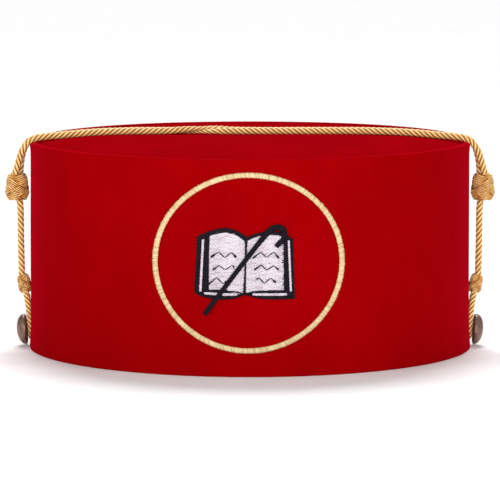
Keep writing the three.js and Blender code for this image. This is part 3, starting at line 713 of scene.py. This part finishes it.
BACKING_LIFT, PAGE_LIFT, OUTLINE_LIFT, WRITING_LIFT, CROOK_LIFT = 0.18, 0.34, 0.62, 0.66, 1.0
BACKING_THICKNESS = 0.15
PAGE_EDGE_SINK = 0.05
PAGE_LEFT, PAGE_MIDDLE, PAGE_RIGHT = -16.5, -1.9, 13.6
ROW_PITCH, ROW_SHIFT, HEAD_ROOM = 0.4, 0.37, 0.5
STITCH_LONG, STITCH_SHORTEST, STITCH_TILT = 3.3, 0.7, 0.12
SWAY, SWAY_LENGTH = 0.35, 5.0
PAGE_SINK, PAGE_CROWN, PAGE_UNEVEN = 0.02, 0.16, 0.06
TOOTH_LOW, TOOTH_HIGH, TOOTH_PITCH, TOOTH_REACH = 35.2, 55.6, 0.75, (0.2, 1.2)
TOOTH_ROOT, TOOTH_TILT, TOOTH_CROWN, TOOTH_THREAD = 0.7, 0.1, 0.1, 0.46
WRITING_CROWN, WRITING_THREAD = 0.1, 0.42
END_SHARE, END_LIFT, END_CROWN, END_THREAD = 0.45, 0.1, 0.16, 0.85


def page_stitches(name, head, foot, near, far, thread):
    """One page: rows of short threads over a pad, each row shifted along so that the ends don't line up.

    The rows sway up and down with a sine, and threads past the page's head and foot are left out.
    """
    head, foot = smooth_line(head, 200), smooth_line(foot, 200)
    xs = np.linspace(near, far, 26)
    low, high = np.interp(xs, foot[:, 0], foot[:, 1]), np.interp(xs, head[:, 0], head[:, 1])
    weave = patch(Weave(), np.stack([xs, low], -1), np.stack([xs, high], -1), PAGE_LIFT, rows=24)
    rows = np.arange(low.min(), high.max(), ROW_PITCH)
    shift = (np.arange(len(rows)) * ROW_SHIFT % 1) * STITCH_LONG
    along = np.arange(0, far - near + 2 * STITCH_LONG, STITCH_LONG)
    begins = near - STITCH_LONG + shift[:, None] + along[None, :]
    x0 = np.clip(begins, near, far)
    x1 = np.clip(begins + STITCH_LONG, near, far)
    z = rows[:, None] + 0 * x0
    sway = SWAY * np.sin((x0 + x1) / SWAY_LENGTH)
    middle = (x0 + x1) / 2
    on_page = (z > np.interp(middle, xs, low)) & (z < np.interp(middle, xs, high) - HEAD_ROOM)
    keep = (x1 - x0 > STITCH_SHORTEST) & on_page
    start = np.stack([x0, z + sway], -1)[keep]
    end = np.stack([x1, z + sway + STITCH_TILT], -1)[keep]
    stitches(weave, start, end, PAGE_LIFT - PAGE_SINK, PAGE_CROWN, THREAD, PAGE_UNEVEN)
    return weave.build(f"page_stitches_{name}", [thread], "white_thread", [f"book_page_{name}"])


def outline_stitches(thread):
    """Covers, spine and page edges of the book in black satin stitch, on a thin black backing.

    Single threads of uneven reach stand as teeth along the right page's ragged edge.
    """
    weave = Weave()
    for bar in COVER_BARS:
        stroke(weave, bar["line"], bar["width"], OUTLINE_LIFT, ragged=0.08)
    feet = np.concatenate([smooth_line(LEFT_FOOT, 40), smooth_line(RIGHT_FOOT, 40)[1:]])
    heads = np.concatenate([smooth_line(LEFT_HEAD, 40), smooth_line(RIGHT_HEAD, 40)[1:]])
    patch(weave, feet, heads, BACKING_LIFT, rows=26, thickness=BACKING_THICKNESS)
    height = np.arange(TOOTH_LOW, TOOTH_HIGH, TOOTH_PITCH)
    edge = np.interp(height, *zip(*[(z, x) for x, z in RAGGED_EDGE]))
    tips = np.stack([edge - rng.uniform(*TOOTH_REACH, len(height)), height], -1)
    roots = np.stack([edge + TOOTH_ROOT, height + TOOTH_TILT], -1)
    stitches(weave, tips, roots, OUTLINE_LIFT, TOOTH_CROWN, TOOTH_THREAD)
    stroke(weave, LEFT_HEAD, LEFT_HEAD_WIDTHS, OUTLINE_LIFT)
    stroke(weave, RIGHT_HEAD, RIGHT_HEAD_WIDTH, OUTLINE_LIFT)
    stroke(weave, LEFT_FOOT, LEFT_FOOT_WIDTHS, OUTLINE_LIFT)
    stroke(weave, RIGHT_FOOT, RIGHT_FOOT_WIDTHS, OUTLINE_LIFT)
    stroke(weave, LEFT_PAGE_FOOT, PAGE_FOOT_WIDTH, OUTLINE_LIFT, ragged=0.08)
    stroke(weave, RIGHT_PAGE_FOOT, PAGE_FOOT_WIDTH, OUTLINE_LIFT, ragged=0.08)
    stroke(weave, SPINE, SPINE_WIDTHS, OUTLINE_LIFT, ragged=0.1)
    return weave.build("outline_stitches", [thread], "black_thread", ["book_outline"])


def page_edge_stitches(thread):
    """White page edges that show between the covers and below the pages."""
    weave = Weave()
    for bar in WHITE_LINES:
        stroke(weave, bar["line"], bar["width"], OUTLINE_LIFT - PAGE_EDGE_SINK, ragged=0.07)
    return weave.build("page_edge_stitches", [thread], "white_thread")


def page_writing(thread):
    """Rows of zigzag running stitch that stand for writing, with a thick thread at each end of a row."""
    weave = Weave()
    for row in WRITING:
        corner = np.array(row)
        stitches(weave, corner[:-1], corner[1:], WRITING_LIFT, WRITING_CROWN, WRITING_THREAD)
        ends, inner = corner[[0, -1]], corner[[1, -2]]
        stops = ends * END_SHARE + inner * (1 - END_SHARE)
        stitches(weave, ends, stops, WRITING_LIFT + END_LIFT, END_CROWN, END_THREAD)
    return weave.build("page_writing", [thread], "black_thread")


def crook_stitches(thread):
    """The shepherd's crook in raised black satin stitch, wider at the tip of its hook."""
    weave = Weave()
    stroke(weave, CROOK_LINE, CROOK_WIDTHS, CROOK_LIFT, crown=CROOK_CROWN)
    return weave.build("crook_stitches", [thread], "black_thread", ["crook"])


# Finishes

class Shader:
    """A node material under construction, with short calls for the nodes that the finishes share."""

    def __init__(self, name):
        self.material = bpy.data.materials.new(name)
        self.material.use_nodes = True
        self.tree = self.material.node_tree
        self.bsdf = self.tree.nodes["Principled BSDF"]

    def node(self, kind, inputs=None, **settings):
        made = self.tree.nodes.new(kind)
        for key, value in settings.items():
            setattr(made, key, value)
        for key, value in (inputs or {}).items():
            if isinstance(value, bpy.types.NodeSocket):
                self.tree.links.new(value, made.inputs[key])
            else:
                made.inputs[key].default_value = value
        return made

    def place(self):
        return self.node("ShaderNodeTexCoord").outputs["Object"]

    def uv(self):
        return self.node("ShaderNodeTexCoord").outputs["UV"]

    def value(self, name):
        return self.node("ShaderNodeAttribute", attribute_name=name).outputs["Fac"]

    def noise(self, vector, scale, detail=3.0, rough=0.55, stretch=(1, 1, 1)):
        spread = self.node("ShaderNodeMapping", {"Vector": vector, "Scale": stretch}).outputs["Vector"]
        sockets = {"Vector": spread, "Scale": scale, "Detail": detail, "Roughness": rough}
        return self.node("ShaderNodeTexNoise", sockets).outputs["Fac"]

    def ramp(self, value, *stops):
        made = self.node("ShaderNodeValToRGB", {"Fac": value})
        ramp = made.color_ramp
        while len(ramp.elements) < len(stops):
            ramp.elements.new(0.5)
        for element, (position, colour) in zip(ramp.elements, stops):
            element.position = position
            element.color = colour if len(colour) == 4 else (*colour, 1)
        return made.outputs["Color"]

    def math(self, operation, first, second):
        return self.node("ShaderNodeMath", {0: first, 1: second}, operation=operation).outputs[0]

    def mix(self, amount, first, second, blend="MIX"):
        made = self.node("ShaderNodeMix", {0: amount, 6: first, 7: second}, data_type="RGBA", blend_type=blend)
        return made.outputs[2]

    def bump(self, height, strength, distance):
        made = self.node("ShaderNodeBump", {"Height": height, "Strength": strength, "Distance": distance})
        self.tree.links.new(made.outputs["Normal"], self.bsdf.inputs["Normal"])

    def finish(self, **sockets):
        for key, value in sockets.items():
            socket = self.bsdf.inputs[key.replace("_", " ")]
            if isinstance(value, bpy.types.NodeSocket):
                self.tree.links.new(value, socket)
            else:
                socket.default_value = value
        return self.material


def grey(level):
    """A colour of three equal shares."""
    return (level, level, level)


def velvet(name, depth, sheen):
    """Cut-pile velvet: deep red, a little brighter where the nap leans, with a crimson sheen at grazing angles.

    depth scales the red, a lower depth making a copy with painted shade; sheen is the share of the sheen.
    """
    s = Shader(name)
    place = s.place()
    nap = s.noise(place, scale=30, detail=4, rough=0.6, stretch=(1, 1, 0.6))
    pile = s.noise(place, scale=2400, detail=2, rough=0.7)
    brushed = s.ramp(nap, (0.34, (0.31 * depth, 0.0002, 0.0012)), (0.66, (0.36 * depth, 0.0003, 0.0016)))
    fleck = s.ramp(pile, (0.3, grey(0.84)), (0.7, grey(1.0)))
    s.bump(pile, strength=0.3, distance=0.0005)
    return s.finish(Base_Color=s.mix(1.0, brushed, fleck, "MULTIPLY"), Roughness=1.0, Specular_IOR_Level=0.0,
                    Sheen_Weight=sheen, Sheen_Roughness=0.35, Sheen_Tint=(1.0, 0.008, 0.05, 1))


def backing_cloth():
    """Plain woven red cloth on the inside, threads crossing over and under."""
    s = Shader("backing_cloth")
    place = s.place()
    threads = {"Vector": place, "Scale": 520.0, "Distortion": 0.6}
    up = s.node("ShaderNodeTexWave", threads, bands_direction="Z")
    around = s.node("ShaderNodeTexWave", threads, bands_direction="DIAGONAL")
    weave = s.math("MULTIPLY", up.outputs["Fac"], around.outputs["Fac"])
    tone = s.ramp(weave, (0.0, (0.15, 0.003, 0.008)), (1.0, (0.3, 0.008, 0.016)))
    s.bump(weave, strength=0.4, distance=0.0003)
    return s.finish(Base_Color=tone, Roughness=0.85, Specular_IOR_Level=0.2, Sheen_Weight=0.2)


def gold_cord():
    """Silky gold cord: fine filaments along each ply, amber painted shade in the grooves and a cream painted
    highlight on the crowns.
    """
    s = Shader("gold_cord")
    filaments = s.noise(s.uv(), scale=1.0, detail=2, rough=0.5, stretch=(0.35, 26, 1))
    # The rise ramp paints light: dark amber is painted shade between plies and threads and in the knots' cores,
    # cream is a painted highlight on the crowns
    depth = s.ramp(s.value("rise"), (0.55, (0.10, 0.022, 0.004)), (0.77, (0.34, 0.09, 0.009)),
                   (0.87, (0.82, 0.31, 0.04)), (0.93, (1.0, 0.55, 0.135)), (0.97, (1.0, 0.74, 0.29)),
                   (1.0, (1.0, 0.91, 0.56)))
    tone = s.ramp(filaments, (0.3, grey(0.72)), (0.62, grey(1.0)))
    shade = s.ramp(s.value("shade"), (0.0, grey(0.9)), (1.0, grey(1.0)))
    colour = s.mix(1.0, s.mix(1.0, depth, tone, "MULTIPLY"), shade, "MULTIPLY")
    s.bump(filaments, strength=0.35, distance=0.0002)
    return s.finish(Base_Color=colour, Roughness=0.4, Specular_IOR_Level=0.55, Sheen_Weight=0.05,
                    Specular_Tint=(1.0, 0.84, 0.55, 1))


def stitch_thread(name, dark, light, roughness, specular, flecks=None):
    """Embroidery thread: two fine plies along each stitch, and a small difference from thread to thread.

    flecks is a colour for short dashes where the cloth below shows between the stitches.
    """
    s = Shader(name)
    ply = s.noise(s.uv(), scale=1.0, detail=2, rough=0.5, stretch=(2.2, 7, 1))
    tone = s.ramp(s.value("shade"), (0.0, dark), (0.55, light), (1.0, light))
    fine = s.ramp(ply, (0.3, grey(0.8)), (0.65, grey(1.0)))
    s.bump(ply, strength=0.3, distance=0.00015)
    colour = s.mix(1.0, tone, fine, "MULTIPLY")
    if flecks:
        dashes = s.noise(s.place(), scale=1000, detail=1, rough=0.5, stretch=(0.7, 1, 2.6))
        colour = s.mix(s.ramp(dashes, (0.64, grey(0.0)), (0.7, grey(0.8))), colour, (*flecks, 1))
    return s.finish(Base_Color=colour, Roughness=roughness, Specular_IOR_Level=specular)


def antique_brass():
    """Dark antiqued brass, brighter towards the top of the dome as a painted highlight, with fine handling
    marks.
    """
    s = Shader("antique_brass")
    place = s.place()
    patina = s.noise(place, scale=420, detail=5, rough=0.62)
    marks = s.noise(place, scale=2400, detail=3, rough=0.6, stretch=(1, 1, 0.35))
    tone = s.ramp(patina, (0.3, (0.11, 0.062, 0.046)), (0.55, (0.23, 0.138, 0.104)),
                  (0.8, (0.36, 0.23, 0.175)))
    # Painted highlight: lighter brass mixed in towards the dome's top by the edge value
    painted_highlight = s.mix(s.math("MULTIPLY", s.value("edge"), 0.3), tone, (0.26, 0.185, 0.14, 1))
    rough = s.ramp(marks, (0.3, grey(0.4)), (0.7, grey(0.52)))
    s.bump(marks, strength=0.12, distance=0.0002)
    return s.finish(Base_Color=painted_highlight, Metallic=0.75, Roughness=rough)


# Stage, light and camera

CAMERA_PLACE = (0.0, -1.940, 0.24466)
CAMERA_PITCH = 0.1047
FOCAL_PIXELS = 4586.8
FRAME_PIXELS = 500
SENSOR = 36.0
SURROUND_STRENGTH = 0.37
FLOOR_HALF = 30.0
LAMP_AIM = (0, 0, 0.05)
LAMPS = [
    dict(name="front_lamp", kind="AREA", place=(0.0, -1.75, 0.55), power=17.0, spread=0.6),
    dict(name="left_lamp", kind="AREA", place=(-1.25, -0.75, 0.7), power=3.3, spread=0.4),
    dict(name="right_lamp", kind="AREA", place=(1.25, -0.75, 0.7), power=3.3, spread=0.4),
    dict(name="top_lamp", kind="SUN", place=(0.0, 1.0, 1.6), power=2.6, spread=0.45),
]


def studio():
    """A plain pale floor, an even white surround, four soft lamps and the camera in front."""
    scene = bpy.context.scene
    scene.view_settings.view_transform = "Standard"
    world = bpy.data.worlds.new("surround")
    world.use_nodes = True
    glow = world.node_tree.nodes["Background"].inputs
    glow["Color"].default_value = (1.0, 1.0, 1.0, 1)
    glow["Strength"].default_value = SURROUND_STRENGTH
    scene.world = world
    corners = [(x * FLOOR_HALF, y * FLOOR_HALF, 0) for x, y in ((-1, -1), (1, -1), (1, 1), (-1, 1))]
    floor_mesh = bpy.data.meshes.new("floor")
    floor_mesh.from_pydata(corners, [], [(0, 1, 2, 3)])
    floor = bpy.data.objects.new("floor", floor_mesh)
    scene.collection.objects.link(floor)
    paper = Shader("floor_paper")
    grain = paper.noise(paper.place(), scale=60, detail=2)
    tone = paper.ramp(grain, (0.3, grey(0.9)), (0.7, grey(0.93)))
    floor_mesh.materials.append(paper.finish(Base_Color=tone, Roughness=0.9, Specular_IOR_Level=0.1))
    for lamp in LAMPS:
        light = bpy.data.lights.new(lamp["name"], lamp["kind"])
        light.energy = lamp["power"]
        setattr(light, "size" if lamp["kind"] == "AREA" else "angle", lamp["spread"])
        holder = bpy.data.objects.new(lamp["name"], light)
        scene.collection.objects.link(holder)
        holder.location = lamp["place"]
        aim = Vector(LAMP_AIM) - holder.location
        holder.rotation_euler = aim.to_track_quat("-Z", "Y").to_euler()
    camera = bpy.data.objects.new("camera", bpy.data.cameras.new("camera"))
    scene.collection.objects.link(camera)
    camera.location = CAMERA_PLACE
    camera.rotation_euler = (np.pi / 2 - CAMERA_PITCH, 0, 0)
    camera.data.sensor_width = SENSOR
    camera.data.lens = FOCAL_PIXELS * SENSOR / FRAME_PIXELS
    camera.data.clip_end = 100
    scene.camera = camera


studio()

gold = gold_cord()
brass = antique_brass()
gold_stitch = stitch_thread("gold_stitch", dark=(0.62, 0.42, 0.17), light=(0.90, 0.71, 0.40),
                            roughness=0.45, specular=0.5)
white_stitch = stitch_thread("white_stitch", dark=(0.60, 0.52, 0.60), light=(0.80, 0.75, 0.81),
                             roughness=0.6, specular=0.25, flecks=(0.55, 0.24, 0.32))
black_stitch = stitch_thread("black_stitch", dark=(0.004, 0.003, 0.006), light=(0.011, 0.008, 0.014),
                             roughness=0.6, specular=0.12)
inner_cloth = backing_cloth()

velvet_band([velvet("wall_velvet", depth=0.94, sheen=0.3), inner_cloth])
# The top panel's velvet is a darker copy of the wall's, painted shade for how the light falls on the top
velvet_top([velvet("top_velvet", depth=0.86, sheen=0.1), inner_cloth])
ring_stitches(gold_stitch)
page_stitches("left", LEFT_HEAD, LEFT_PAGE_FOOT, PAGE_LEFT, PAGE_MIDDLE, white_stitch)
page_stitches("right", RIGHT_HEAD, RIGHT_PAGE_FOOT, PAGE_MIDDLE, PAGE_RIGHT, white_stitch)
page_edge_stitches(white_stitch)
outline_stitches(black_stitch)
page_writing(black_stitch)
crook_stitches(black_stitch)

for side in SIDES:
    dome_button(side, brass)
    big_knot = turks_head("big", side, gold)
    small_knot = turks_head("small", side, gold)
    eye = eye_cord(side, gold)
    hanging, hanging_line = hanging_cord(side, gold)
    crossing, crossing_line = crossing_cord(side, gold)
